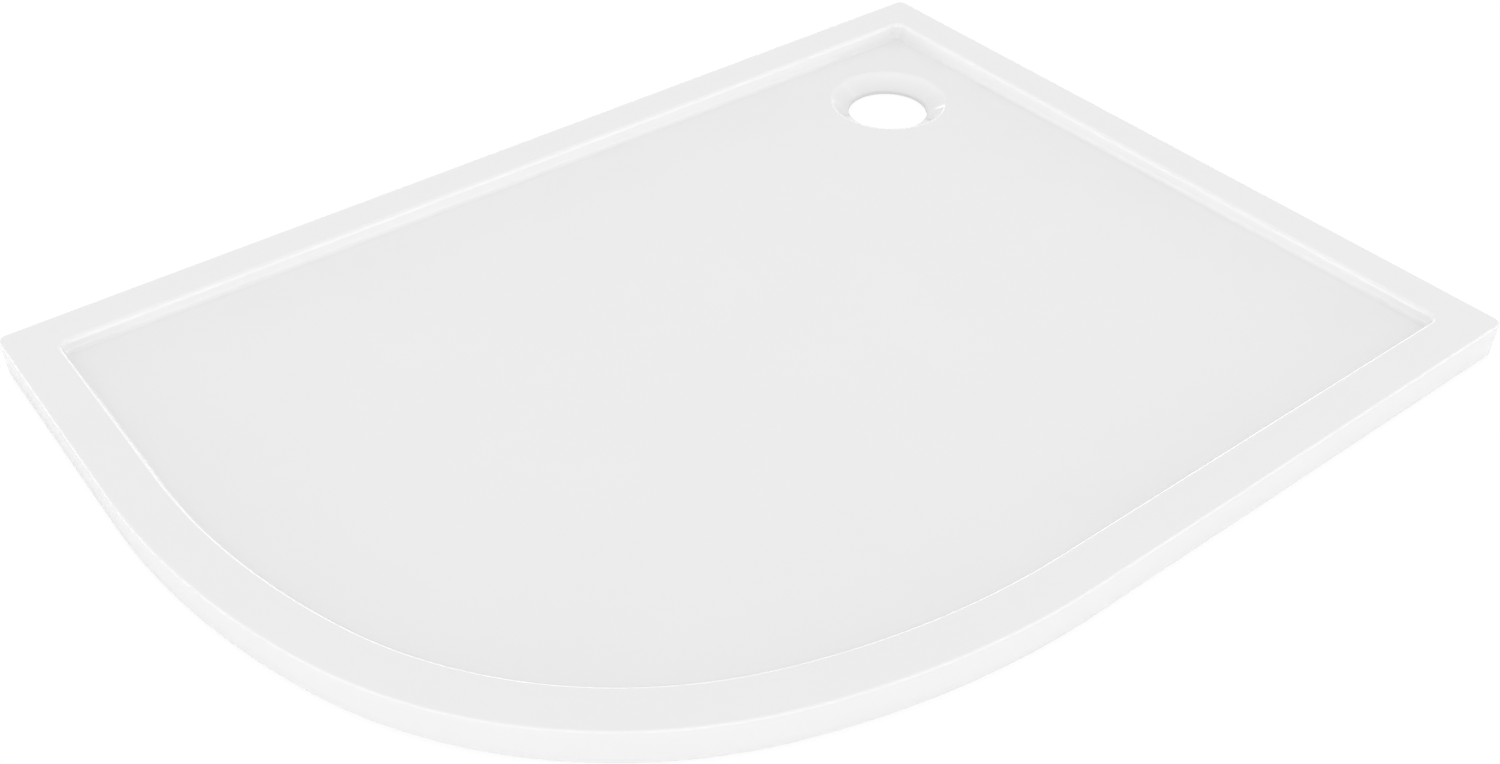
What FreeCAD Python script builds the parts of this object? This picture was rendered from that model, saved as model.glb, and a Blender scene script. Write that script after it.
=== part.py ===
import FreeCAD, Part
import math
import os

# Offset quadrant shower tray, millimetres.
# A thermoformed acrylic shell is stiffened from below by a glass-fibre laminate, a base board and
# rim battens, and it stands on screw feet that are hidden behind the skirt.
# X runs along the long side and Y along the short one. The square corner with the waste is at +X +Y,
# the rounded corner is at -X -Y, and Z = 0 is the level that the tray stands on.

# Overall size
LENGTH = 1200.0
WIDTH = 900.0
HEIGHT = 40.0
CORNER_RADIUS = 10.0

# Front curve: a tighter middle arc between two flatter ones, tangent to both straight sides
CURVE_TANGENT = 611.0
CURVE_END_RADIUS = 796.0
CURVE_MID_RADIUS = 482.0

# Acrylic shell
SHEET = 4.0
SKIRT_GROUND_GAP = 2.8
RIM_WIDTH = 46.0
RIM_OUTER_ROUND = 2.2
RIM_INNER_ROUND = 4.6
WELL_CORNER_RADIUS = 9.0
WALL_DRAFT_DEG = 4.0
WELL_DEPTH = 20.5
FALL_ALONG_X = 0.006
FALL_ALONG_Y = 0.008
FLOOR_ROUND = 4.5

# Waste bowl
WASTE_INSET_X = 166.0
WASTE_INSET_Y = 163.0
WASTE_MOUTH_RADIUS = 71.0
WASTE_MOUTH_ROUND = 8.0
WASTE_HOLE_RADIUS = 48.5
WASTE_LIP_LENGTH = 4.7
WASTE_LIP_ROUND = 3.0
WASTE_GROUND_GAP = 1.2

# Laminate, base board and rim battens
LAMINATE = 2.5
BOARD = 9.0
BOARD_MARGIN = 16.0
BOARD_CORNER_RADIUS = 20.0
BOARD_WASTE_GAP = 8.0
BATTEN_WIDTH = 30.0
BATTEN_SKIRT_GAP = 2.5
BATTEN_BUTT_GAP = 0.5

# Screw feet
FOOT_END_INSET = 62.0
FOOT_CURVE_INSET = 40.0
SOLE = 1.5
SOLE_CHAMFER = 0.5
PAD_RADIUS = 15.0
PAD_HEIGHT = 6.5
PAD_SIDE_HEIGHT = 3.0
PAD_COLLAR_RADIUS = 9.0
PAD_FLOOR = 0.8
PAD_NUT_GAP = 0.5
LOCK_NUT_HEIGHT = 5.0
LOCK_NUT_FLATS = 16.0
LOCK_NUT_CHAMFER = 0.8
PLATE = 2.0
PLATE_LENGTH = 56.0
PLATE_WIDTH = 26.0
PLATE_CORNER_RADIUS = 5.0
BOSS_WALL = 2.0
BOSS_HEIGHT = 8.0
BOSS_CLEARANCE = 0.3
BORE_COVER = 2.5
STUD_RADIUS = 5.0
STUD_NECK_RADIUS = 3.2
STUD_BUTTON_RADIUS = 5.0
STUD_BUTTON_HEIGHT = 2.0
STUD_TIP_GAP = 1.0
STUD_TIP_CHAMFER = 1.0
SWIVEL_CLEARANCE = 0.3
THREAD_CLEARANCE = 0.1
SCREW_SPACING = 40.0
SCREW_RADIUS = 1.9
SCREW_LENGTH = 14.0
SCREW_POINT = 3.0
SCREW_HEAD_RADIUS = 3.6
SCREW_HEAD_HEIGHT = 1.8
SCREW_HEAD_CHAMFER = 0.8
SCREW_CLEARANCE = 0.2

# Places worked out from the sizes above
HALF_LENGTH = LENGTH / 2
HALF_WIDTH = WIDTH / 2
CURVE_X = CURVE_TANGENT - HALF_LENGTH
CURVE_Y = CURVE_TANGENT - HALF_WIDTH
RADIUS_STEP = CURVE_END_RADIUS - CURVE_MID_RADIUS
END_ARC_COSINE = (CURVE_END_RADIUS - CURVE_TANGENT) / (RADIUS_STEP * math.sqrt(2))
END_ARC_DEG = math.degrees(math.acos(END_ARC_COSINE)) - 45
MID_CENTRE = CURVE_TANGENT - RADIUS_STEP * math.sin(math.radians(END_ARC_DEG))
MID_X = MID_CENTRE - HALF_LENGTH
MID_Y = MID_CENTRE - HALF_WIDTH
WASTE_X = HALF_LENGTH - WASTE_INSET_X
WASTE_Y = HALF_WIDTH - WASTE_INSET_Y
BACKING = SHEET + LAMINATE
PAD_TOP = SOLE + PAD_HEIGHT
NUT_BOTTOM = PAD_TOP + PAD_NUT_GAP
PLATE_BOTTOM = NUT_BOTTOM + LOCK_NUT_HEIGHT
BATTEN_BOTTOM = PLATE_BOTTOM + PLATE
BATTEN_TOP = HEIGHT - BACKING
BATTEN_OUTER = SHEET + BATTEN_SKIRT_GAP
BATTEN_INNER = BATTEN_OUTER + BATTEN_WIDTH
BATTEN_MIDDLE = (BATTEN_OUTER + BATTEN_INNER) / 2
BORE_TOP = BATTEN_TOP - BORE_COVER
BUTTON_BOTTOM = SOLE + PAD_FLOOR + SWIVEL_CLEARANCE
BUTTON_TOP = BUTTON_BOTTOM + STUD_BUTTON_HEIGHT
THREAD_HOLE_RADIUS = STUD_RADIUS + THREAD_CLEARANCE
BOSS_RADIUS = THREAD_HOLE_RADIUS + BOSS_WALL
SCREW_HOLE_RADIUS = SCREW_RADIUS + SCREW_CLEARANCE
PAST = 1.0

UP = FreeCAD.Vector(0, 0, 1)


# Shared shapes

def point(x, y, z=0.0):
    return FreeCAD.Vector(x, y, z)


def arc(x, y, radius, start_deg, end_deg, z=0.0):
    """Return an arc about (x, y), counter-clockwise from start_deg to end_deg."""
    angles = [math.radians(a) for a in (start_deg, (start_deg + end_deg) / 2, end_deg)]
    points = [point(x + radius * math.cos(a), y + radius * math.sin(a), z) for a in angles]
    return Part.Arc(*points).toShape()


def turned(profile):
    """Return the solid that a closed (radius, height) profile makes about the Z axis."""
    points = [point(r, 0, z) for r, z in profile]
    return Part.Face(Part.makePolygon(points + points[:1])).revolve(point(0, 0), UP, 360)


def rod(radius, bottom, top, x=0.0):
    return Part.makeCylinder(radius, top - bottom, point(x, 0, bottom))


def front_curve(inset, z):
    """Return the front curve's three arcs, moved inwards by inset, from the left side to the front."""
    end_radius = CURVE_END_RADIUS - inset
    mid_radius = CURVE_MID_RADIUS - inset
    return [
        arc(CURVE_END_RADIUS - HALF_LENGTH, CURVE_Y, end_radius, 180, 180 + END_ARC_DEG, z),
        arc(MID_X, MID_Y, mid_radius, 180 + END_ARC_DEG, 270 - END_ARC_DEG, z),
        arc(CURVE_X, CURVE_END_RADIUS - HALF_WIDTH, end_radius, 270 - END_ARC_DEG, 270, z),
    ]


def outline(inset, corner_radius, z):
    """Return the tray's plan outline, moved inwards by inset, as a closed wire at height z."""
    right = HALF_LENGTH - inset
    back = HALF_WIDTH - inset
    left = -right
    front = -back
    r = corner_radius
    edges = [
        Part.makeLine(point(CURVE_X, front, z), point(right - r, front, z)),
        arc(right - r, front + r, r, -90, 0, z),
        Part.makeLine(point(right, front + r, z), point(right, back - r, z)),
        arc(right - r, back - r, r, 0, 90, z),
        Part.makeLine(point(right - r, back, z), point(left + r, back, z)),
        arc(left + r, back - r, r, 90, 180, z),
        Part.makeLine(point(left, back - r, z), point(left, CURVE_Y, z)),
    ]
    return Part.Wire(edges + front_curve(inset, z))


def slab(inset, corner_radius, bottom, top):
    """Return the plan outline as a level slab."""
    return Part.Face(outline(inset, corner_radius, bottom)).extrude(UP * (top - bottom))


# Shell, laminate and base board

def floor_height(x, y):
    """Return the height of the well's floor, which falls towards the waste corner."""
    across = HALF_LENGTH - RIM_WIDTH - x
    along = HALF_WIDTH - RIM_WIDTH - y
    return HEIGHT - WELL_DEPTH + FALL_ALONG_X * across + FALL_ALONG_Y * along


def wall_height():
    """Return the height of the well's wall where it is lowest, on the middle of the front curve."""
    uphill = math.atan2(FALL_ALONG_Y, FALL_ALONG_X)
    reach = CURVE_MID_RADIUS - RIM_WIDTH
    return HEIGHT - floor_height(MID_X - reach * math.cos(uphill), MID_Y - reach * math.sin(uphill))


def above_floor(drop, height):
    """Return a block of the given height that stands on the floor's plane, lowered by drop."""
    corners = [(-LENGTH, -WIDTH), (LENGTH, -WIDTH), (LENGTH, WIDTH), (-LENGTH, WIDTH)]
    points = [point(x, y, floor_height(x, y) - drop) for x, y in corners]
    return Part.Face(Part.makePolygon(points + points[:1])).extrude(UP * height)


def lies_on_floor(edge, drop):
    """Tell whether an edge lies in the floor's plane, lowered by drop."""
    first, last = edge.ParameterRange
    places = [edge.valueAt(t) for t in (first, (first + last) / 2, last)]
    return all(abs(p.z - floor_height(p.x, p.y) + drop) < 1e-4 for p in places)


def lies_on_lip(edge):
    """Tell whether an edge is level with the top of the waste's lip."""
    box = edge.BoundBox
    lip_top = WASTE_GROUND_GAP + WASTE_LIP_LENGTH
    return abs(box.ZMin - lip_top) < 1e-4 and abs(box.ZMax - lip_top) < 1e-4


def waste_bowl(grow):
    """Return the space of the waste bowl, a cone over a short round lip, grown by grow."""
    bottom = WASTE_GROUND_GAP
    lip_top = bottom + WASTE_LIP_LENGTH
    mouth = floor_height(WASTE_X, WASTE_Y)
    top = mouth - grow + PAST
    run = WASTE_MOUTH_RADIUS - WASTE_HOLE_RADIUS
    rise = mouth - lip_top
    wall = WASTE_HOLE_RADIUS + grow * math.hypot(run, rise) / rise
    radii = [wall + (z - lip_top) * run / rise for z in (bottom, top)]
    cone = Part.makeCone(*radii, top - bottom, point(0, 0, bottom))
    bowl = cone.fuse(rod(WASTE_HOLE_RADIUS + grow, bottom, lip_top))
    bowl.translate(point(WASTE_X, WASTE_Y))
    return bowl


def well(grow, top):
    """Return the space of the well up to height top, with its walls, floor and bowl grown by grow."""
    slope = math.tan(math.radians(WALL_DRAFT_DEG))
    wires = []
    for z in (floor_height(HALF_LENGTH, HALF_WIDTH) - grow - PAST, top):
        taper = (HEIGHT - z) * slope
        wires.append(outline(RIM_WIDTH - grow + taper, WELL_CORNER_RADIUS + grow - taper, z))
    body = Part.makeLoft(wires, True, True).common(above_floor(grow, 2 * HEIGHT))
    floor_round = min(FLOOR_ROUND, wall_height() / 2) + grow
    body = body.makeFillet(floor_round, [e for e in body.Edges if lies_on_floor(e, grow)])
    return body.fuse(waste_bowl(grow)).removeSplitter()


def top_edges(shape):
    return [e for e in shape.Edges if all(abs(v.Z - HEIGHT) < 1e-6 for v in e.Vertexes)]


def acrylic_shell():
    """Return the formed sheet: rim and skirt outside, well and waste bowl inside, open underneath."""
    block = slab(0, CORNER_RADIUS, SKIRT_GROUND_GAP, HEIGHT)
    block = block.makeFillet(RIM_OUTER_ROUND, top_edges(block)).fuse(waste_bowl(SHEET))
    under = slab(SHEET, CORNER_RADIUS - SHEET, -PAST, HEIGHT - SHEET).cut(well(SHEET, HEIGHT))
    space = well(0, HEIGHT)
    mouth = [e for e in space.Edges if e.Closed and lies_on_floor(e, 0)]
    lip = [e for e in space.Edges if e.Closed and lies_on_lip(e)]
    space = space.makeFillet(WASTE_MOUTH_ROUND, mouth).makeFillet(WASTE_LIP_ROUND, lip)
    shell = block.cut(under).cut(space)
    outside = outline(0, CORNER_RADIUS, HEIGHT)
    inner_rim = [e for e in top_edges(shell) if e.distToShape(outside)[0] > RIM_WIDTH / 2]
    return shell.makeFillet(min(RIM_INNER_ROUND, wall_height() / 2), inner_rim)


def laminate_backing():
    """Return the laminate skin on the back of the rim, walls, floor and bowl."""
    rim = slab(SHEET, CORNER_RADIUS - SHEET, BATTEN_TOP, HEIGHT - SHEET)
    return rim.fuse(well(BACKING, HEIGHT - SHEET)).cut(well(SHEET, HEIGHT))


def base_board():
    """Return the panel under the floor, parallel to it and cut out round the waste bowl."""
    board = slab(RIM_WIDTH + BOARD_MARGIN, BOARD_CORNER_RADIUS, 0, HEIGHT)
    board = board.common(above_floor(BACKING + BOARD, BOARD))
    return board.cut(Part.makeCylinder(
        WASTE_MOUTH_RADIUS + BOARD_WASTE_GAP, HEIGHT, point(WASTE_X, WASTE_Y)))


# Rim battens and where their feet are

def placed(shape, place):
    """Return a copy of a foot's piece, turned and moved from the origin to (x, y, angle)."""
    x, y, angle = place
    moved = shape.copy()
    moved.rotate(point(0, 0), UP, angle)
    moved.translate(point(x, y))
    return moved


def batten_feet():
    """Return each batten's foot places, anticlockwise from the waste corner."""
    end_x = HALF_LENGTH - FOOT_END_INSET
    end_y = HALF_WIDTH - FOOT_END_INSET
    line_x = HALF_LENGTH - BATTEN_MIDDLE
    line_y = HALF_WIDTH - BATTEN_MIDDLE
    reach = (CURVE_MID_RADIUS - BATTEN_MIDDLE) / math.sqrt(2)
    return {
        "back_batten": [(end_x, line_y, 0), (0, line_y, 0), (-end_x, line_y, 0)],
        "end_batten": [(-line_x, CURVE_Y + FOOT_CURVE_INSET, 90)],
        "curved_batten": [(MID_X - reach, MID_Y - reach, -45)],
        "front_batten": [(CURVE_X + FOOT_CURVE_INSET, -line_y, 0)],
        "side_batten": [(line_x, -end_y, 90), (line_x, 0, 90)],
    }


def foot_holes():
    """Return the bore for a foot plate's boss and stud, and the holes for its two screws."""
    holes = [rod(BOSS_RADIUS + BOSS_CLEARANCE, BATTEN_BOTTOM - PAST, BORE_TOP)]
    for x in (-SCREW_SPACING / 2, SCREW_SPACING / 2):
        holes.append(rod(SCREW_HOLE_RADIUS, BATTEN_BOTTOM - PAST, PLATE_BOTTOM + SCREW_LENGTH + PAST, x))
    return Part.makeCompound(holes)


def straight_batten(x_from, x_to, y_from, y_to):
    size = (x_to - x_from, y_to - y_from, BATTEN_TOP - BATTEN_BOTTOM)
    return Part.makeBox(*size, point(x_from, y_from, BATTEN_BOTTOM))


def curved_batten():
    """Return the batten between two offsets of the front curve, with square ends."""
    z = BATTEN_BOTTOM
    outer = front_curve(BATTEN_OUTER, z)
    inner = front_curve(BATTEN_INNER, z)
    left = [point(inset - HALF_LENGTH, CURVE_Y, z) for inset in (BATTEN_OUTER, BATTEN_INNER)]
    front = [point(CURVE_X, inset - HALF_WIDTH, z) for inset in (BATTEN_OUTER, BATTEN_INNER)]
    ends = [Part.makeLine(*left), Part.makeLine(*front)]
    wire = Part.Wire(Part.__sortEdges__(outer + inner + ends))
    return Part.Face(wire).extrude(UP * (BATTEN_TOP - BATTEN_BOTTOM))


def rim_battens():
    """Return the five battens, drilled for their feet."""
    out_x = HALF_LENGTH - BATTEN_OUTER
    out_y = HALF_WIDTH - BATTEN_OUTER
    in_x = HALF_LENGTH - BATTEN_INNER
    in_y = HALF_WIDTH - BATTEN_INNER
    gap = BATTEN_BUTT_GAP
    battens = {
        "back_batten": straight_batten(-out_x, out_x, in_y, out_y),
        "end_batten": straight_batten(-out_x, -in_x, CURVE_Y + gap, in_y - gap),
        "curved_batten": curved_batten(),
        "front_batten": straight_batten(CURVE_X + gap, in_x - gap, -out_y, -in_y),
        "side_batten": straight_batten(in_x, out_x, -out_y, in_y - gap),
    }
    for name, places in batten_feet().items():
        for place in places:
            battens[name] = battens[name].cut(placed(foot_holes(), place))
    return battens


# Pieces of one screw foot, about the Z axis

def foot_plate():
    """Return the pressed plate with its threaded boss and two screw holes."""
    blank = Part.makeBox(
        PLATE_LENGTH, PLATE_WIDTH, PLATE, point(-PLATE_LENGTH / 2, -PLATE_WIDTH / 2, PLATE_BOTTOM))
    corners = [e for e in blank.Edges if e.BoundBox.ZLength > PLATE / 2]
    plate = blank.makeFillet(PLATE_CORNER_RADIUS, corners)
    plate = plate.fuse(rod(BOSS_RADIUS, PLATE_BOTTOM, BATTEN_BOTTOM + BOSS_HEIGHT))
    plate = plate.cut(rod(THREAD_HOLE_RADIUS, 0, HEIGHT))
    for x in (-SCREW_SPACING / 2, SCREW_SPACING / 2):
        plate = plate.cut(rod(SCREW_HOLE_RADIUS, 0, HEIGHT, x))
    return plate.removeSplitter()


def plate_screws():
    """Return the two pan-head screws of one plate, points up."""
    tip = PLATE_BOTTOM + SCREW_LENGTH
    head = PLATE_BOTTOM - SCREW_HEAD_HEIGHT
    screw = turned([
        (0, head), (SCREW_HEAD_RADIUS - SCREW_HEAD_CHAMFER, head),
        (SCREW_HEAD_RADIUS, head + SCREW_HEAD_CHAMFER), (SCREW_HEAD_RADIUS, PLATE_BOTTOM),
        (SCREW_RADIUS, PLATE_BOTTOM), (SCREW_RADIUS, tip - SCREW_POINT), (0, tip)])
    pair = [screw.copy(), screw.copy()]
    pair[0].translate(point(-SCREW_SPACING / 2, 0))
    pair[1].translate(point(SCREW_SPACING / 2, 0))
    return pair


def lock_nut():
    """Return the thin hexagon nut, with its corners chamfered at both faces."""
    corner = LOCK_NUT_FLATS / math.sqrt(3)
    angles = [math.radians(60 * i) for i in range(7)]
    ring = [point(corner * math.cos(a), corner * math.sin(a), NUT_BOTTOM) for a in angles]
    hexagon = Part.Face(Part.makePolygon(ring)).extrude(UP * LOCK_NUT_HEIGHT)
    rim = LOCK_NUT_FLATS / 2
    rounded = turned([
        (0, NUT_BOTTOM), (rim, NUT_BOTTOM), (corner, NUT_BOTTOM + LOCK_NUT_CHAMFER),
        (corner, PLATE_BOTTOM - LOCK_NUT_CHAMFER), (rim, PLATE_BOTTOM), (0, PLATE_BOTTOM)])
    return hexagon.common(rounded).cut(rod(THREAD_HOLE_RADIUS, 0, HEIGHT))


def stud():
    """Return the threaded stud, with the button at its foot that turns in the pad."""
    tip = BORE_TOP - STUD_TIP_GAP
    return turned([
        (0, BUTTON_BOTTOM), (STUD_BUTTON_RADIUS, BUTTON_BOTTOM), (STUD_BUTTON_RADIUS, BUTTON_TOP),
        (STUD_NECK_RADIUS, BUTTON_TOP), (STUD_NECK_RADIUS, NUT_BOTTOM), (STUD_RADIUS, NUT_BOTTOM),
        (STUD_RADIUS, tip - STUD_TIP_CHAMFER), (STUD_RADIUS - STUD_TIP_CHAMFER, tip), (0, tip)])


def pad():
    """Return the moulded pad, with the socket that the stud's button snaps into."""
    button = STUD_BUTTON_RADIUS + SWIVEL_CLEARANCE
    neck = STUD_NECK_RADIUS + SWIVEL_CLEARANCE
    shoulder = BUTTON_TOP + SWIVEL_CLEARANCE
    return turned([
        (0, SOLE), (PAD_RADIUS, SOLE), (PAD_RADIUS, SOLE + PAD_SIDE_HEIGHT), (PAD_COLLAR_RADIUS, PAD_TOP),
        (neck, PAD_TOP), (neck, shoulder), (button, shoulder), (button, SOLE + PAD_FLOOR),
        (0, SOLE + PAD_FLOOR)])


def sole():
    """Return the rubber disc under the pad."""
    return turned([
        (0, 0), (PAD_RADIUS - SOLE_CHAMFER, 0), (PAD_RADIUS, SOLE_CHAMFER), (PAD_RADIUS, SOLE), (0, SOLE)])


# All the pieces, one file each

def tray_pieces():
    pieces = {
        "acrylic_shell": acrylic_shell(),
        "laminate_backing": laminate_backing(),
        "base_board": base_board(),
    }
    pieces.update(rim_battens())
    kinds = {"foot_plate": foot_plate(), "lock_nut": lock_nut(), "stud": stud(), "pad": pad(), "sole": sole()}
    places = [place for group in batten_feet().values() for place in group]
    screws = []
    for number, place in enumerate(places, 1):
        for kind, shape in kinds.items():
            pieces[f"{kind}_{number}"] = placed(shape, place)
        screws += [placed(screw, place) for screw in plate_screws()]
    pieces["plate_screws"] = Part.makeCompound(screws)
    return pieces


os.makedirs("parts", exist_ok=True)
for name, shape in tray_pieces().items():
    shape.exportStep(f"parts/{name}.step")
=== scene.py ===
import bpy
import bmesh
import math
from mathutils import Matrix, Vector


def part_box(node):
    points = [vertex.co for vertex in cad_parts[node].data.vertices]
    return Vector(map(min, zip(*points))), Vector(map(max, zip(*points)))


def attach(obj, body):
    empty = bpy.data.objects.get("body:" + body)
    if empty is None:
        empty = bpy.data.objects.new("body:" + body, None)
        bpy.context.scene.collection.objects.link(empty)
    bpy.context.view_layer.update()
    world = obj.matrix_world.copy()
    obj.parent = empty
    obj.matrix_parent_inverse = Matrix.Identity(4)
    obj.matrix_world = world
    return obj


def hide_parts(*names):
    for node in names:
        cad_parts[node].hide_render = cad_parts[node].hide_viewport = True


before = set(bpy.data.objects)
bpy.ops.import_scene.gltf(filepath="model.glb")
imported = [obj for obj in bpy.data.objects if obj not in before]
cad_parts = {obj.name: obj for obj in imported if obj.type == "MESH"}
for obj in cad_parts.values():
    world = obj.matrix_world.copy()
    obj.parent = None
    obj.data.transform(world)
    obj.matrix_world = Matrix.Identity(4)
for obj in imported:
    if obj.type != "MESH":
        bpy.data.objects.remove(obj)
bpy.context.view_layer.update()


# Acrylic shell
# One sheet of white sanitary acrylic, heated and drawn by vacuum over a mould, so that rim, skirt, well and
# waste bowl are a single skin. Every edge is rounded by the mould, and only the skirt and lip are trimmed.

shell_low, shell_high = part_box("acrylic_shell")
HALF_LENGTH = shell_high.x
HALF_WIDTH = shell_high.y
RIM_TOP = shell_high.z
LIP_BOTTOM = shell_low.z
SKIRT_BOTTOM = 0.0028
SHEET = 0.004
CORNER_RADIUS = 0.010
CURVE_TANGENT = 0.611
CURVE_END_RADIUS = 0.796
CURVE_MID_RADIUS = 0.482
RIM_WIDTH = 0.046
RIM_OUTER_ROUND = 0.0022
RIM_INNER_ROUND = 0.0046
WELL_CORNER_RADIUS = 0.009
WALL_DRAFT = math.tan(math.radians(4))
WELL_DEPTH = 0.0205
FALL = Vector((-0.006, -0.008))
FLOOR_ROUND = 0.0045
WASTE_CENTRE = Vector((0.434, 0.287))
WASTE_MOUTH_RADIUS = 0.071
WASTE_MOUTH_ROUND = 0.008
WASTE_FLOOR_RUN = 3 * WASTE_MOUTH_ROUND
WASTE_HOLE_RADIUS = 0.0485
WASTE_LIP_LENGTH = 0.0047
WASTE_LIP_ROUND = 0.003
STATION_STEP = 0.008
CORNER_STEPS = 12
ROUND_STEPS = 6
EDGE_HOLD = 0.0004
SHARP_EDGE_DEG = 35
ACRYLIC_COLOUR = (0.88, 0.88, 0.88)
ACRYLIC_HAZE = 0.004
ACRYLIC_RIPPLE = 0.000002
ACRYLIC_IOR = 1.49
ACRYLIC_SHINE = 0.8


def stretch(start, end, inward, count):
    """Return evenly spaced places along a straight side, each with the direction into the tray."""
    return [(start.lerp(end, i / count), inward) for i in range(count)]


def bend(centre, radius, start_deg, end_deg, count):
    """Return evenly spaced places along an arc, each with the direction into the tray."""
    places = []
    for i in range(count):
        angle = math.radians(start_deg + (end_deg - start_deg) * i / count)
        outward = Vector((math.cos(angle), math.sin(angle)))
        places.append((centre + radius * outward, -outward))
    return places


def plan(corner_radius):
    """Return the tray's outer edge as places with inward directions, anticlockwise from the front curve's end."""
    curve_x = CURVE_TANGENT - HALF_LENGTH
    curve_y = CURVE_TANGENT - HALF_WIDTH
    radius_step = CURVE_END_RADIUS - CURVE_MID_RADIUS
    turn = math.acos((CURVE_END_RADIUS - CURVE_TANGENT) / (radius_step * math.sqrt(2))) - math.pi / 4
    middle = CURVE_TANGENT - radius_step * math.sin(turn)
    turn_deg = math.degrees(turn)
    right = HALF_LENGTH - corner_radius
    back = HALF_WIDTH - corner_radius
    front_count = round((HALF_LENGTH - curve_x) / STATION_STEP)
    side_count = round(2 * HALF_WIDTH / STATION_STEP)
    back_count = round(2 * HALF_LENGTH / STATION_STEP)
    end_count = round((HALF_WIDTH - curve_y) / STATION_STEP)
    flat_count = round(CURVE_END_RADIUS * turn / STATION_STEP)
    tight_count = round(CURVE_MID_RADIUS * (math.pi / 2 - 2 * turn) / STATION_STEP)
    return (
        stretch(Vector((curve_x, -HALF_WIDTH)), Vector((right, -HALF_WIDTH)), Vector((0, 1)), front_count)
        + bend(Vector((right, -back)), corner_radius, -90, 0, CORNER_STEPS)
        + stretch(Vector((HALF_LENGTH, -back)), Vector((HALF_LENGTH, back)), Vector((-1, 0)), side_count)
        + bend(Vector((right, back)), corner_radius, 0, 90, CORNER_STEPS)
        + stretch(Vector((right, HALF_WIDTH)), Vector((-right, HALF_WIDTH)), Vector((0, -1)), back_count)
        + bend(Vector((-right, back)), corner_radius, 90, 180, CORNER_STEPS)
        + stretch(Vector((-HALF_LENGTH, back)), Vector((-HALF_LENGTH, curve_y)), Vector((1, 0)), end_count)
        + bend(Vector((CURVE_END_RADIUS - HALF_LENGTH, curve_y)), CURVE_END_RADIUS,
               180, 180 + turn_deg, flat_count)
        + bend(Vector((middle - HALF_LENGTH, middle - HALF_WIDTH)), CURVE_MID_RADIUS,
               180 + turn_deg, 270 - turn_deg, tight_count)
        + bend(Vector((curve_x, CURVE_END_RADIUS - HALF_WIDTH)), CURVE_END_RADIUS,
               270 - turn_deg, 270, flat_count)
    )


def rounded(corners, radii, hold=EDGE_HOLD):
    """Return a section's points, with an arc of the given radius at each inner corner, held at both ends."""
    points = [corners[0]]
    for before, corner, after, radius in zip(corners, corners[1:], corners[2:], radii):
        back_way = (before - corner).normalized()
        on_way = (after - corner).normalized()
        half = back_way.angle(on_way) / 2
        centre = corner + (back_way + on_way).normalized() * radius / math.sin(half)
        start = corner + back_way * radius / math.tan(half)
        end = corner + on_way * radius / math.tan(half)
        from_angle = math.atan2(start.y - centre.y, start.x - centre.x)
        turn = (end - centre).angle_signed(start - centre)
        points.append(start + back_way * hold)
        for i in range(ROUND_STEPS + 1):
            angle = from_angle + turn * i / ROUND_STEPS
            points.append(centre + radius * Vector((math.cos(angle), math.sin(angle))))
        points.append(end + on_way * hold)
    return points + [corners[-1]]


def floor_height(place):
    """Return the height of the well's floor, which falls to the square corner with the waste."""
    inner_corner = Vector((HALF_LENGTH - RIM_WIDTH, HALF_WIDTH - RIM_WIDTH))
    return RIM_TOP - WELL_DEPTH + FALL.dot(place - inner_corner)


def well_section(place, inward, grow):
    """Return inset and height down the well's wall and onto its floor, with the space grown by grow."""
    rim = RIM_TOP - (SHEET if grow else 0)
    slope = FALL.dot(inward)
    start = RIM_WIDTH - grow + (RIM_TOP - rim) * WALL_DRAFT
    level = floor_height(place) - grow
    base = (level + slope * (start + rim * WALL_DRAFT)) / (1 + slope * WALL_DRAFT)
    wall_foot = Vector((start + (rim - base) * WALL_DRAFT, base))
    far = wall_foot + (FLOOR_ROUND + grow + EDGE_HOLD) * Vector((1, slope))
    return rounded([Vector((RIM_WIDTH / 2, rim)), Vector((start, rim)), wall_foot, far],
                   [max(RIM_INNER_ROUND - grow, EDGE_HOLD), FLOOR_ROUND + grow])[1:]


def waste_section(outward, grow):
    """Return radius and height from the floor down through the waste bowl, with the space grown by grow."""
    lip_top = LIP_BOTTOM + WASTE_LIP_LENGTH
    run = WASTE_MOUTH_RADIUS - WASTE_HOLE_RADIUS
    rise = floor_height(WASTE_CENTRE) - lip_top
    spread = run / rise
    slope = FALL.dot(outward)
    level = floor_height(WASTE_CENTRE) - grow
    wall = WASTE_HOLE_RADIUS + grow * math.hypot(run, rise) / rise
    mouth = (wall + (level - lip_top) * spread) / (1 - slope * spread)
    hole = WASTE_HOLE_RADIUS + grow
    knee = lip_top - (wall - hole) / spread
    far = mouth + WASTE_FLOOR_RUN
    corners = [
        Vector((far, level + slope * far)), Vector((mouth, level + slope * mouth)),
        Vector((hole, max(knee, LIP_BOTTOM + 2 * EDGE_HOLD))), Vector((hole, LIP_BOTTOM))]
    return rounded(corners, [WASTE_MOUTH_ROUND, max(WASTE_LIP_ROUND - grow, EDGE_HOLD)])


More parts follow.
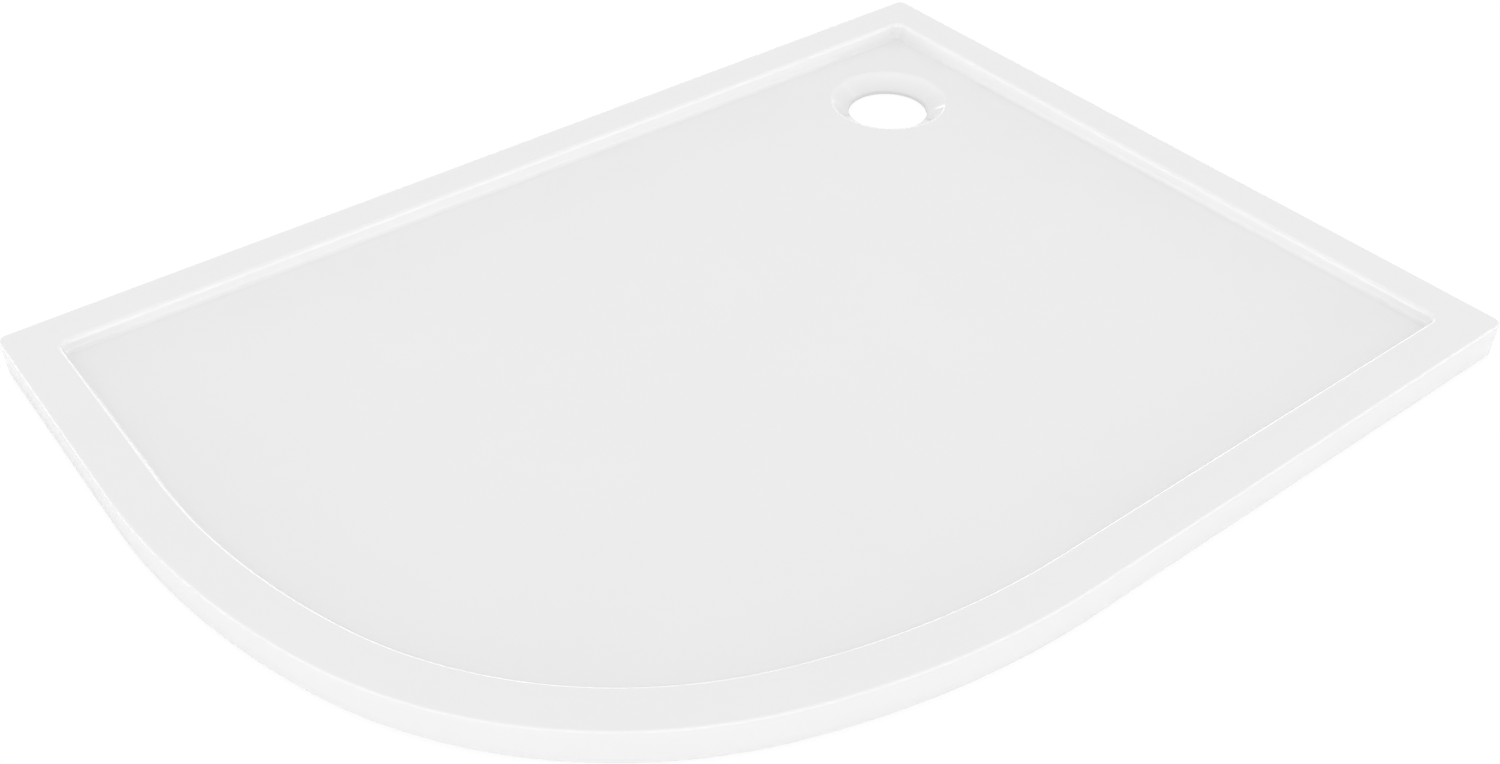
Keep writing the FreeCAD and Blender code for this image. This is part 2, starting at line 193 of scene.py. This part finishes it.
def sheet_face(grow):
    """Return one face of the sheet as closed rings, from the skirt's lower edge to the waste's lip."""
    outer = plan(CORNER_RADIUS)
    inner = plan(RIM_WIDTH + WELL_CORNER_RADIUS)
    inset = SHEET if grow else 0
    skirt_corners = [Vector((inset, SKIRT_BOTTOM)), Vector((inset, RIM_TOP - inset)),
                     Vector((RIM_WIDTH / 2, RIM_TOP - inset))]
    skirt = rounded(skirt_corners, [max(RIM_OUTER_ROUND - grow, EDGE_HOLD)])[:-1]
    stations = []
    for (edge, way_in), (well_edge, well_way_in) in zip(outer, inner):
        column = [(*(edge + way_in * s.x), s.y) for s in skirt]
        for s in well_section(well_edge, well_way_in, grow):
            column.append((*(well_edge + well_way_in * s.x), s.y))
        outward = (Vector(column[-1][:2]) - WASTE_CENTRE).normalized()
        for s in waste_section(outward, grow):
            column.append((*(WASTE_CENTRE + outward * s.x), s.y))
        stations.append(column)
    return [list(ring) for ring in zip(*stations)]


def smooth_piece(name, places, faces):
    """Return an object with these places and faces, turned outwards and smooth except at its sharp edges."""
    mesh = bpy.data.meshes.new(name)
    mesh.from_pydata(places, [], faces)
    body = bmesh.new()
    body.from_mesh(mesh)
    bmesh.ops.recalc_face_normals(body, faces=body.faces)
    body.to_mesh(mesh)
    body.free()
    mesh.shade_smooth()
    mesh.set_sharp_from_angle(angle=math.radians(SHARP_EDGE_DEG))
    piece = bpy.data.objects.new(name, mesh)
    bpy.context.scene.collection.objects.link(piece)
    return piece


def skin(name, rings):
    """Return an object whose closed surface joins each ring to the next and the last to the first."""
    count = len(rings[0])
    faces = []
    for r in range(len(rings)):
        here = r * count
        there = (r + 1) % len(rings) * count
        for i in range(count):
            j = (i + 1) % count
            faces.append((here + i, here + j, there + j, there + i))
    return smooth_piece(name, [place for ring in rings for place in ring], faces)


class Finish:
    """A material in the making, with the node tools that the finishes of this tray share."""

    def __init__(self, name):
        self.material = bpy.data.materials.new(name)
        self.material.use_nodes = True
        self.tree = self.material.node_tree
        self.shader = self.tree.nodes["Principled BSDF"]
        self.place = self.add("ShaderNodeTexCoord").outputs["Object"]

    def add(self, kind):
        return self.tree.nodes.new(kind)

    def link(self, source, target):
        self.tree.links.new(source, target)

    def laid(self, stretch, turn_deg=0, offset=(0, 0, 0)):
        """Return places moved by offset, turned about the vertical and drawn out along each axis."""
        lay = self.add("ShaderNodeMapping")
        lay.vector_type = "TEXTURE"
        lay.inputs["Location"].default_value = offset
        lay.inputs["Rotation"].default_value = (0, 0, math.radians(turn_deg))
        lay.inputs["Scale"].default_value = stretch
        self.link(self.place, lay.inputs["Vector"])
        return lay.outputs["Vector"]

    def speckle(self, scale, detail, stretch=(1, 1, 1), turn_deg=0):
        """Return a soft random value that changes about scale times in a metre."""
        noise = self.add("ShaderNodeTexNoise")
        noise.inputs["Scale"].default_value = scale
        noise.inputs["Detail"].default_value = detail
        self.link(self.laid(stretch, turn_deg), noise.inputs["Vector"])
        return noise.outputs["Fac"]

    def tint(self, value, *stops):
        """Return colours that follow a value through the stops, each a value and a colour."""
        ramp = self.add("ShaderNodeValToRGB")
        while len(ramp.color_ramp.elements) < len(stops):
            ramp.color_ramp.elements.new(0.5)
        for element, (position, colour) in zip(ramp.color_ramp.elements, stops):
            element.position = position
            element.color = (*colour, 1)
        self.link(value, ramp.inputs["Fac"])
        return ramp.outputs["Color"]

    def between(self, value, low, high, to_low=0, to_high=1):
        """Return a value's span from low to high spread over to_low to to_high."""
        span = self.add("ShaderNodeMapRange")
        names = ("From Min", "From Max", "To Min", "To Max")
        for name, number in zip(names, (low, high, to_low, to_high)):
            span.inputs[name].default_value = number
        self.link(value, span.inputs["Value"])
        return span.outputs["Result"]

    def sum(self, operation, first, second):
        """Return the result of one arithmetic step on two values, or a value and a number."""
        step = self.add("ShaderNodeMath")
        step.operation = operation
        self.link(first, step.inputs[0])
        if isinstance(second, (int, float)):
            step.inputs[1].default_value = second
        else:
            self.link(second, step.inputs[1])
        return step.outputs["Value"]

    def colour(self, colours):
        self.link(colours, self.shader.inputs["Base Color"])

    def polish(self, value, smooth, rough):
        self.link(self.between(value, 0.3, 0.7, smooth, rough), self.shader.inputs["Roughness"])

    def relief(self, value, depth):
        """Raise the surface by up to depth where the value is high."""
        bump = self.add("ShaderNodeBump")
        bump.inputs["Distance"].default_value = depth
        self.link(value, bump.inputs["Height"])
        self.link(bump.outputs["Normal"], self.shader.inputs["Normal"])


def white_acrylic():
    """Return glossy white acrylic, with the faint haze and ripple that forming leaves in the sheet."""
    finish = Finish("white_acrylic")
    haze = finish.speckle(9, 4)
    darker = [c - ACRYLIC_HAZE for c in ACRYLIC_COLOUR]
    lighter = [c + ACRYLIC_HAZE for c in ACRYLIC_COLOUR]
    finish.colour(finish.tint(haze, (0.3, darker), (0.7, lighter)))
    finish.polish(haze, 0.02, 0.035)
    finish.relief(finish.speckle(45, 2), ACRYLIC_RIPPLE)
    finish.shader.inputs["IOR"].default_value = ACRYLIC_IOR
    finish.shader.inputs["Specular IOR Level"].default_value = ACRYLIC_SHINE
    return finish.material


shell = skin("shell", sheet_face(0) + sheet_face(SHEET)[::-1])
shell.data.materials.append(white_acrylic())
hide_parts("acrylic_shell")
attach(shell, "tray")


# Glass-fibre laminate
# Chopped glass strands in polyester resin, sprayed and rolled onto the back of the formed sheet, where they
# set into a rough skin that stiffens its rim, walls, floor and bowl.

RESIN_COLOUR = (0.56, 0.53, 0.38)
STRAND_COLOUR = (0.80, 0.79, 0.69)
STRAND_SCALE = 420
STRAND_STRETCH = (30, 1, 1)
STRAND_TURNS_DEG = (10, 47, 95, 151)
STRAND_HEIGHT = 0.0003
POOL_SCALE = 14


def glass_laminate():
    """Return resin with short pale strands that lie across each other in all directions."""
    finish = Finish("glass_laminate")
    mat = None
    for turn_deg in STRAND_TURNS_DEG:
        strands = finish.between(finish.speckle(STRAND_SCALE, 3, STRAND_STRETCH, turn_deg), 0.5, 0.62)
        mat = strands if mat is None else finish.sum("MAXIMUM", mat, strands)
    pooled = finish.speckle(POOL_SCALE, 3)
    mat = finish.sum("MULTIPLY", mat, finish.between(pooled, 0.25, 0.6, 0.35, 1))
    finish.colour(finish.tint(mat, (0, RESIN_COLOUR), (1, STRAND_COLOUR)))
    finish.polish(pooled, 0.55, 0.3)
    finish.relief(mat, STRAND_HEIGHT)
    return finish.material


def dress(node, material):
    """Give a piece that keeps its solid's shape a finish of its own."""
    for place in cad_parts[node].material_slots:
        place.material = material


dress("laminate_backing", glass_laminate())


# Base board
# A panel of birch plywood, sawn to the well's outline and cut out round the waste, which is pressed into the
# wet laminate under the floor, so that its plies lie parallel to the floor's fall.

PLY = 0.0015
BIRCH_LIGHT = (0.72, 0.56, 0.37)
BIRCH_DARK = (0.57, 0.41, 0.24)
PLY_LIGHT = (0.68, 0.52, 0.34)
PLY_DARK = (0.46, 0.32, 0.19)
FIGURE_SCALE = 45
FIGURE_STRETCH = (12, 1, 1)
PORE_SCALE = 650
PORE_STRETCH = (40, 1, 1)
PORE_DEPTH = 0.0001
SAWN_FIBRE_SCALE = 1600


def plywood(name, fall):
    """Return birch plywood with its grain along the tray and its plies showing on the sawn edges."""
    finish = Finish(name)
    pores = finish.speckle(PORE_SCALE, 4, PORE_STRETCH)
    clouds = finish.speckle(FIGURE_SCALE, 4, FIGURE_STRETCH)
    figure = finish.sum("ADD", clouds, finish.between(pores, 0.3, 0.7, -0.14, 0.14))
    face = finish.tint(figure, (0.3, BIRCH_DARK), (0.55, BIRCH_LIGHT), (0.75, BIRCH_DARK))
    level = finish.add("ShaderNodeVectorMath")
    level.operation = "DOT_PRODUCT"
    level.inputs[1].default_value = (-fall.x, -fall.y, 1)
    finish.link(finish.place, level.inputs[0])
    plies = finish.sum("PINGPONG", finish.sum("MULTIPLY", level.outputs["Value"], 1 / PLY), 1)
    fibres = finish.speckle(SAWN_FIBRE_SCALE, 4)
    layer = finish.sum("ADD", plies, finish.between(fibres, 0.3, 0.7, -0.06, 0.06))
    edge = finish.tint(layer, (0.45, PLY_LIGHT), (0.55, PLY_DARK))
    normal = finish.add("ShaderNodeSeparateXYZ")
    finish.link(finish.add("ShaderNodeNewGeometry").outputs["Normal"], normal.inputs["Vector"])
    flat = finish.between(finish.sum("ABSOLUTE", normal.outputs["Z"], 0), 0.6, 0.8)
    both = finish.add("ShaderNodeMix")
    both.data_type = "RGBA"
    finish.link(flat, both.inputs["Factor"])
    finish.link(edge, both.inputs["A"])
    finish.link(face, both.inputs["B"])
    finish.colour(both.outputs["Result"])
    finish.polish(figure, 0.75, 0.6)
    finish.relief(pores, PORE_DEPTH)
    return finish.material


dress("base_board", plywood("board_plywood", FALL))


# Rim battens
# Planed softwood strips in the channel behind the skirt, bonded under the rim, and one batten that is
# bandsawn from plywood to follow the front curve. They carry the screws of the foot plates.

SOFTWOOD_LIGHT = (0.78, 0.61, 0.40)
SOFTWOOD_DARK = (0.56, 0.37, 0.19)
RING_SCALE = 75
HEART_OFFSET = (0.1, 0.2, -0.07)
GRAIN_STRETCH = 30
FIBRE_SCALE = 700
FIBRE_DEPTH = 0.00008


def softwood(name, grain):
    """Return planed softwood whose grain runs along the X or the Y axis."""
    finish = Finish(name)
    stretch = (GRAIN_STRETCH, 1, 1) if grain == "X" else (1, GRAIN_STRETCH, 1)
    rings = finish.add("ShaderNodeTexWave")
    rings.wave_type = "RINGS"
    rings.rings_direction = grain
    rings.inputs["Scale"].default_value = RING_SCALE
    rings.inputs["Distortion"].default_value = 3
    rings.inputs["Detail"].default_value = 3
    finish.link(finish.laid(stretch, offset=HEART_OFFSET), rings.inputs["Vector"])
    fibres = finish.speckle(FIBRE_SCALE, 4, stretch)
    year = finish.sum("ADD", rings.outputs["Fac"], finish.between(fibres, 0.3, 0.7, -0.2, 0.2))
    finish.colour(finish.tint(year, (0.35, SOFTWOOD_LIGHT), (0.95, SOFTWOOD_DARK)))
    finish.polish(fibres, 0.7, 0.55)
    finish.relief(fibres, FIBRE_DEPTH)
    return finish.material


long_grain = softwood("softwood_along_length", "X")
short_grain = softwood("softwood_along_width", "Y")
dress("back_batten", long_grain)
dress("front_batten", long_grain)
dress("end_batten", short_grain)
dress("side_batten", short_grain)
dress("curved_batten", plywood("batten_plywood", Vector((0, 0))))


# Foot plates and lock nuts
# Each plate is pressed from steel strip with a threaded boss drawn up into the batten, and a thin hexagon nut
# underneath locks the stud. Both are zinc plated.

FOOT_NUMBERS = range(1, 9)
ZINC_COOL = (0.60, 0.62, 0.64)
ZINC_WARM = (0.74, 0.73, 0.68)
ZINC_CLOUD_SCALE = 180
ZINC_MARK_SCALE = 2200
ZINC_MARK_DEPTH = 0.000008


def zinc_steel():
    """Return bright zinc plate, clouded by its passivation, with faint marks of drawing and handling."""
    finish = Finish("zinc_steel")
    cloud = finish.speckle(ZINC_CLOUD_SCALE, 5)
    finish.colour(finish.tint(cloud, (0.35, ZINC_COOL), (0.65, ZINC_WARM)))
    finish.shader.inputs["Metallic"].default_value = 1
    finish.polish(cloud, 0.22, 0.4)
    finish.relief(finish.speckle(ZINC_MARK_SCALE, 2, (6, 1, 1), 30), ZINC_MARK_DEPTH)
    return finish.material


zinc = zinc_steel()
for number in FOOT_NUMBERS:
    dress(f"foot_plate_{number}", zinc)
    dress(f"lock_nut_{number}", zinc)


# Plate screws
# Two pan-head wood screws with a cross recess hold each plate under its batten. They are cold headed and
# thread rolled from wire, then zinc plated, and they go in point up.

PLATE_TURNS_DEG = (0, 0, 0, 90, -45, 0, 90, 90)
PLATE_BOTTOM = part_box("foot_plate_1")[0].z
SCREW_SPACING = 0.040
SCREW_HEAD_BOTTOM, SCREW_TIP = (corner.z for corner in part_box("plate_screws"))
SCREW_HEAD_RADIUS = 0.0036
SCREW_HEAD_FLAT_RADIUS = 0.0026
SCREW_HEAD_ROUND = 0.0009
SCREW_RADIUS = 0.0019
SCREW_ROOT_RADIUS = 0.0013
SCREW_PITCH = 0.0016
SCREW_POINT = 0.003
SCREW_TIP_RADIUS = SCREW_ROOT_RADIUS / 12
RECESS_HALF_WIDTH = 0.00045
RECESS_DEPTH = 0.0011
RECESS_CORNER_DEG = 15
DRIVEN_TURN_DEG = 41
DRIVEN_SIDE_DEG = 67
SCREW_COLUMNS = 48
THREAD_ROWS = 10
THREAD_FOOT = 0.75
THREAD_FLANK = 0.625
FINE_HOLD = 0.00006


def circle(radius, height, columns):
    """Return a level ring of places about the Z axis."""
    angles = [2 * math.pi * i / columns for i in range(columns)]
    return [(radius * math.cos(a), radius * math.sin(a), height) for a in angles]


def cross(half_width, height, columns):
    """Return the outline of a cross recess as a ring of places about the Z axis."""
    reach = half_width / math.tan(math.radians(RECESS_CORNER_DEG))
    ring = []
    for i in range(columns):
        angle = 2 * math.pi * i / columns
        wide, narrow = sorted((abs(math.cos(angle)), abs(math.sin(angle))), reverse=True)
        radius = min(reach / wide, half_width / max(narrow, 1e-9))
        ring.append((radius * math.cos(angle), radius * math.sin(angle), height))
    return ring


def thread(crest, root, pitch, bottom, top, columns):
    """Return the rings of a right-hand screw thread, which runs out at both ends."""
    rows = round((top - bottom) / pitch * THREAD_ROWS)
    rings = []
    for row in range(rows + 1):
        height = bottom + (top - bottom) * row / rows
        full = min(1, (height - bottom) / pitch, (top - height) / pitch)
        ring = []
        for i in range(columns):
            turn = ((height - bottom) / pitch - i / columns) % 1
            rise = min(1, max(0, (THREAD_FOOT - abs(2 * turn - 1)) / THREAD_FLANK))
            radius = root + (crest - root) * rise * full
            angle = 2 * math.pi * i / columns
            ring.append((radius * math.cos(angle), radius * math.sin(angle), height))
        rings.append(ring)
    return rings


def solid(name, bodies):
    """Return one object made of closed bodies, each a run of rings with a flat cap at both ends."""
    places = []
    faces = []
    for rings in bodies:
        count = len(rings[0])
        first = len(places)
        places += [place for ring in rings for place in ring]
        for r in range(len(rings) - 1):
            here = first + r * count
            for i in range(count):
                j = (i + 1) % count
                faces.append((here + i, here + j, here + count + j, here + count + i))
        last = first + (len(rings) - 1) * count
        faces.append(tuple(first + i for i in range(count)))
        faces.append(tuple(last + i for i in range(count)))
    return smooth_piece(name, places, faces)


def plate_screw():
    """Return the rings of one screw, from the bottom of its recess to its point."""
    head = SCREW_HEAD_BOTTOM
    dome = rounded([
        Vector((SCREW_HEAD_FLAT_RADIUS, head)), Vector((SCREW_HEAD_RADIUS, head)),
        Vector((SCREW_HEAD_RADIUS, PLATE_BOTTOM)), Vector((SCREW_ROOT_RADIUS, PLATE_BOTTOM))],
        [SCREW_HEAD_ROUND, FINE_HOLD], FINE_HOLD)
    rings = [
        cross(RECESS_HALF_WIDTH / 2, head + RECESS_DEPTH, SCREW_COLUMNS),
        cross(RECESS_HALF_WIDTH, head + RECESS_DEPTH / 3, SCREW_COLUMNS),
        cross(RECESS_HALF_WIDTH, head, SCREW_COLUMNS)]
    rings += [circle(p.x, p.y, SCREW_COLUMNS) for p in dome]
    rings += thread(
        SCREW_RADIUS, SCREW_ROOT_RADIUS, SCREW_PITCH, PLATE_BOTTOM + EDGE_HOLD, SCREW_TIP - SCREW_POINT,
        SCREW_COLUMNS)
    rings.append(circle(SCREW_TIP_RADIUS, SCREW_TIP, SCREW_COLUMNS))
    return rings


def middle(node):
    """Return the point of a piece's box that lies on its axis, at the level that the tray stands on."""
    low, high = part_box(node)
    return Vector(((low.x + high.x) / 2, (low.y + high.y) / 2, 0))


def moved(rings, place, turn_deg):
    """Return rings turned about the Z axis and moved to place."""
    way = Matrix.Translation(place) @ Matrix.Rotation(math.radians(turn_deg), 4, "Z")
    return [[way @ Vector(point) for point in ring] for ring in rings]


screws = []
for number, plate_turn_deg in zip(FOOT_NUMBERS, PLATE_TURNS_DEG):
    for side in (-1, 1):
        along_plate = Matrix.Rotation(math.radians(plate_turn_deg), 3, "Z")
        across = along_plate @ Vector((side * SCREW_SPACING / 2, 0, 0))
        driven_deg = DRIVEN_TURN_DEG * number + DRIVEN_SIDE_DEG * side
        screws.append(moved(plate_screw(), middle(f"foot_plate_{number}") + across, driven_deg))
plate_screws = solid("screws", screws)
plate_screws.data.materials.append(zinc)
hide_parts("plate_screws")
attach(plate_screws, "tray")


# Studs
# M10 zinc-plated steel with a rolled thread. The turned neck and button at the foot snap into the pad and turn
# there when the tray is levelled.

STUD_BOTTOM, STUD_TOP = (corner.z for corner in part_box("stud_1"))
STUD_RADIUS = 0.005
STUD_ROOT_RADIUS = 0.00408
STUD_PITCH = 0.0015
STUD_NECK_RADIUS = 0.0032
STUD_BUTTON_HEIGHT = 0.002
STUD_BUTTON_ROUND = 0.0004
STUD_NECK_ROUND = 0.0002
STUD_NECK_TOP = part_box("lock_nut_1")[0].z
STUD_TIP_CHAMFER = 0.001
STUD_COLUMNS = 36


def stud_rings():
    """Return the rings of one stud, from its button to its tip."""
    button_top = STUD_BOTTOM + STUD_BUTTON_HEIGHT
    foot = rounded([
        Vector((STUD_NECK_RADIUS, STUD_BOTTOM)), Vector((STUD_RADIUS, STUD_BOTTOM)),
        Vector((STUD_RADIUS, button_top)), Vector((STUD_NECK_RADIUS, button_top)),
        Vector((STUD_NECK_RADIUS, STUD_NECK_TOP))],
        [STUD_BUTTON_ROUND, STUD_BUTTON_ROUND, STUD_NECK_ROUND], FINE_HOLD)
    rings = [circle(p.x, p.y, STUD_COLUMNS) for p in foot]
    rings += thread(
        STUD_RADIUS, STUD_ROOT_RADIUS, STUD_PITCH, STUD_NECK_TOP + EDGE_HOLD, STUD_TOP - STUD_TIP_CHAMFER / 2,
        STUD_COLUMNS)
    rings.append(circle(STUD_RADIUS - STUD_TIP_CHAMFER, STUD_TOP, STUD_COLUMNS))
    return rings


for number in FOOT_NUMBERS:
    stud = solid(f"threaded_stud_{number}", [moved(stud_rings(), middle(f"stud_{number}"), 0)])
    stud.data.materials.append(zinc)
    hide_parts(f"stud_{number}")
    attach(stud, f"screw_{number}")


# Pads
# Injection-moulded black polypropylene feet with a sloping top, a collar and the socket that the stud's button
# snaps into.

PAD_BOTTOM, PAD_TOP = (corner.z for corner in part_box("pad_1"))
PAD_RADIUS = 0.015
PAD_SIDE_TOP = PAD_BOTTOM + 0.003
PAD_COLLAR_RADIUS = 0.009
PAD_ROUNDS = [0.0003, 0.0008, 0.0008, 0.0004, 0.0002, 0.0002, 0.0002]
SOCKET_RADIUS = 0.0053
SOCKET_NECK_RADIUS = 0.0035
SOCKET_BOTTOM = PAD_BOTTOM + 0.0008
SOCKET_TOP = SOCKET_BOTTOM + 0.0026
PAD_COLUMNS = 64
PLASTIC_COLOUR = (0.042, 0.043, 0.046)
PLASTIC_WORN_COLOUR = (0.07, 0.07, 0.073)
SPARK_SCALE = 2600
SPARK_DEPTH = 0.00003


def black_plastic():
    """Return moulded black plastic with the fine spark texture of its mould."""
    finish = Finish("black_plastic")
    grain = finish.speckle(SPARK_SCALE, 3)
    finish.colour(finish.tint(finish.speckle(60, 3), (0.35, PLASTIC_COLOUR), (0.7, PLASTIC_WORN_COLOUR)))
    finish.polish(grain, 0.42, 0.6)
    finish.relief(grain, SPARK_DEPTH)
    return finish.material


def pad_rings():
    """Return the rings of one pad, from its underside over its collar and down into its socket."""
    corners = [
        Vector((PAD_RADIUS / 2, PAD_BOTTOM)), Vector((PAD_RADIUS, PAD_BOTTOM)), Vector((PAD_RADIUS, PAD_SIDE_TOP)),
        Vector((PAD_COLLAR_RADIUS, PAD_TOP)), Vector((SOCKET_NECK_RADIUS, PAD_TOP)),
        Vector((SOCKET_NECK_RADIUS, SOCKET_TOP)), Vector((SOCKET_RADIUS, SOCKET_TOP)),
        Vector((SOCKET_RADIUS, SOCKET_BOTTOM)), Vector((SOCKET_RADIUS / 2, SOCKET_BOTTOM))]
    return [circle(p.x, p.y, PAD_COLUMNS) for p in rounded(corners, PAD_ROUNDS, FINE_HOLD)]


plastic = black_plastic()
for number in FOOT_NUMBERS:
    pad = solid(f"foot_pad_{number}", [moved(pad_rings(), middle(f"pad_{number}"), 0)])
    pad.data.materials.append(plastic)
    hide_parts(f"pad_{number}")
    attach(pad, f"foot_{number}")


# Soles
# Punched discs of black rubber sheet, glued under the pads so that the tray doesn't slide on the floor.

SOLE_BOTTOM, SOLE_TOP = (corner.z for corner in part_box("sole_1"))
SOLE_ROUNDS = [0.0005, 0.0001]
SOLE_COLUMNS = 64
RUBBER_COLOUR = (0.022, 0.022, 0.022)
RUBBER_DUSTY_COLOUR = (0.045, 0.044, 0.042)
DUST_SCALE = 300
CLOTH_SCALE = 1500
CLOTH_DEPTH = 0.00005


def black_rubber():
    """Return matt black rubber, a little dusty, with the cloth texture of calendered sheet."""
    finish = Finish("black_rubber")
    dust = finish.speckle(DUST_SCALE, 4)
    finish.colour(finish.tint(dust, (0.4, RUBBER_COLOUR), (0.75, RUBBER_DUSTY_COLOUR)))
    finish.polish(dust, 0.75, 0.92)
    finish.relief(finish.speckle(CLOTH_SCALE, 2), CLOTH_DEPTH)
    return finish.material


def sole_rings():
    """Return the rings of one sole, from its underside to its glued face."""
    corners = [
        Vector((PAD_RADIUS / 2, SOLE_BOTTOM)), Vector((PAD_RADIUS, SOLE_BOTTOM)), Vector((PAD_RADIUS, SOLE_TOP)),
        Vector((PAD_RADIUS / 2, SOLE_TOP))]
    return [circle(p.x, p.y, SOLE_COLUMNS) for p in rounded(corners, SOLE_ROUNDS, FINE_HOLD)]


rubber = black_rubber()
for number in FOOT_NUMBERS:
    sole = solid(f"rubber_sole_{number}", [moved(sole_rings(), middle(f"sole_{number}"), 0)])
    sole.data.materials.append(rubber)
    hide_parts(f"sole_{number}")
    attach(sole, f"foot_{number}")


# Studio
# A plain white floor under an even white sky, with the camera where the photograph was taken from. Low bands of
# light on the viewer's side and on the far side brighten the upright faces and rounded edges, and a thin strip
# higher up draws the line under the back walls.

CAMERA_PLACE = Vector((-0.80663, -1.02325, 1.03792))
CAMERA_FORWARD = Vector((0.47707, 0.61003, -0.63267))
CAMERA_RIGHT = Vector((0.78831, -0.61527, 0.00118))
CAMERA_LENS_MM = 39.593
SENSOR_WIDTH_MM = 36.0
FLOOR_REACH = 40.0
PAPER_LEVEL = 0.74
PAPER_SEEN_BY = {
    "Is Transmission Ray": (0.7, 0.32), "Is Glossy Ray": (0.7, 0.32), "Is Camera Ray": (0.1, 0.92)}
EVEN_LIGHT = 0.87
VIEWER_SIDE = Vector((-0.62, -0.785, 0))
VIEWER_SPREAD = (-0.6, -0.4)
VIEWER_LIGHT = [(0, 2.1), (8, 2.1), (11, 0), (37, 0), (38.5, 0.6), (42, 0.6), (43.5, 0)]
FAR_SIDE = Vector((0.66, 0.75, 0))
FAR_SPREAD = (0.86, 0.95)
FAR_LIGHT = [(0, 2.2), (9, 2.2), (12, 0)]


def paper(tree, level, glow):
    """Return a matt surface of a grey level that also gives off some light of its own."""
    matt = tree.nodes.new("ShaderNodeBsdfDiffuse")
    matt.inputs["Color"].default_value = (level, level, level, 1)
    light = tree.nodes.new("ShaderNodeEmission")
    light.inputs["Strength"].default_value = glow
    both = tree.nodes.new("ShaderNodeAddShader")
    tree.links.new(matt.outputs[0], both.inputs[0])
    tree.links.new(light.outputs[0], both.inputs[1])
    return both.outputs[0]


def white_paper():
    """Return paper that is white to the viewer and in reflections, and keeps a trace of the tray's shadow."""
    finish = bpy.data.materials.new("studio_floor")
    finish.use_nodes = True
    finish.cycles.emission_sampling = "NONE"
    tree = finish.node_tree
    tree.nodes.clear()
    path = tree.nodes.new("ShaderNodeLightPath")
    surface = paper(tree, PAPER_LEVEL, 0)
    for ray, (level, glow) in PAPER_SEEN_BY.items():
        choice = tree.nodes.new("ShaderNodeMixShader")
        tree.links.new(path.outputs[ray], choice.inputs["Fac"])
        tree.links.new(surface, choice.inputs[1])
        tree.links.new(paper(tree, level, glow), choice.inputs[2])
        surface = choice.outputs[0]
    output = tree.nodes.new("ShaderNodeOutputMaterial")
    tree.links.new(surface, output.inputs["Surface"])
    return finish


floor_mesh = bpy.data.meshes.new("studio_floor")
floor_corners = [(x * FLOOR_REACH, y * FLOOR_REACH, 0) for x, y in ((-1, -1), (1, -1), (1, 1), (-1, 1))]
floor_mesh.from_pydata(floor_corners, [], [(0, 1, 2, 3)])
floor_mesh.materials.append(white_paper())
studio_floor = bpy.data.objects.new("studio_floor", floor_mesh)
bpy.context.scene.collection.objects.link(studio_floor)

world = bpy.data.worlds.new("studio")
bpy.context.scene.world = world
world.use_nodes = True
sky = world.node_tree
backdrop = sky.nodes["Background"]
backdrop.inputs["Color"].default_value = (1, 1, 1, 1)
direction = sky.nodes.new("ShaderNodeTexCoord").outputs["Generated"]
upward = sky.nodes.new("ShaderNodeSeparateXYZ")
sky.links.new(direction, upward.inputs["Vector"])


def light_band(levels, side, spread):
    """Return light that follows levels, each an elevation and a strength, and grows towards one side."""
    band = sky.nodes.new("ShaderNodeValToRGB")
    while len(band.color_ramp.elements) < len(levels):
        band.color_ramp.elements.new(0.5)
    brightest = max(level for _, level in levels)
    for element, (elevation_deg, level) in zip(band.color_ramp.elements, levels):
        element.position = math.sin(math.radians(elevation_deg))
        element.color = (*[level / brightest] * 3, 1)
    sky.links.new(upward.outputs["Z"], band.inputs["Fac"])
    facing = sky.nodes.new("ShaderNodeVectorMath")
    facing.operation = "DOT_PRODUCT"
    facing.inputs[1].default_value = side
    sky.links.new(direction, facing.inputs[0])
    grow = sky.nodes.new("ShaderNodeMapRange")
    grow.interpolation_type = "SMOOTHSTEP"
    grow.inputs["From Min"].default_value, grow.inputs["From Max"].default_value = spread
    grow.inputs["To Max"].default_value = brightest
    sky.links.new(facing.outputs["Value"], grow.inputs["Value"])
    light = sky.nodes.new("ShaderNodeMath")
    light.operation = "MULTIPLY"
    sky.links.new(band.outputs["Color"], light.inputs[0])
    sky.links.new(grow.outputs["Result"], light.inputs[1])
    return light.outputs["Value"]


total = sky.nodes.new("ShaderNodeValue").outputs["Value"]
total.default_value = EVEN_LIGHT
for band in (
        light_band(VIEWER_LIGHT, VIEWER_SIDE, VIEWER_SPREAD),
        light_band(FAR_LIGHT, FAR_SIDE, FAR_SPREAD)):
    more = sky.nodes.new("ShaderNodeMath")
    more.operation = "ADD"
    sky.links.new(total, more.inputs[0])
    sky.links.new(band, more.inputs[1])
    total = more.outputs["Value"]
sky.links.new(total, backdrop.inputs["Strength"])

camera = bpy.data.cameras.new("camera")
camera.sensor_fit = "HORIZONTAL"
camera.sensor_width = SENSOR_WIDTH_MM
camera.lens = CAMERA_LENS_MM
viewer = bpy.data.objects.new("camera", camera)
up = CAMERA_RIGHT.cross(CAMERA_FORWARD)
viewer.matrix_world = Matrix([
    [CAMERA_RIGHT.x, up.x, -CAMERA_FORWARD.x, CAMERA_PLACE.x],
    [CAMERA_RIGHT.y, up.y, -CAMERA_FORWARD.y, CAMERA_PLACE.y],
    [CAMERA_RIGHT.z, up.z, -CAMERA_FORWARD.z, CAMERA_PLACE.z],
    [0, 0, 0, 1]])
bpy.context.scene.collection.objects.link(viewer)
bpy.context.scene.camera = viewer

bpy.context.scene.view_settings.view_transform = "Standard"
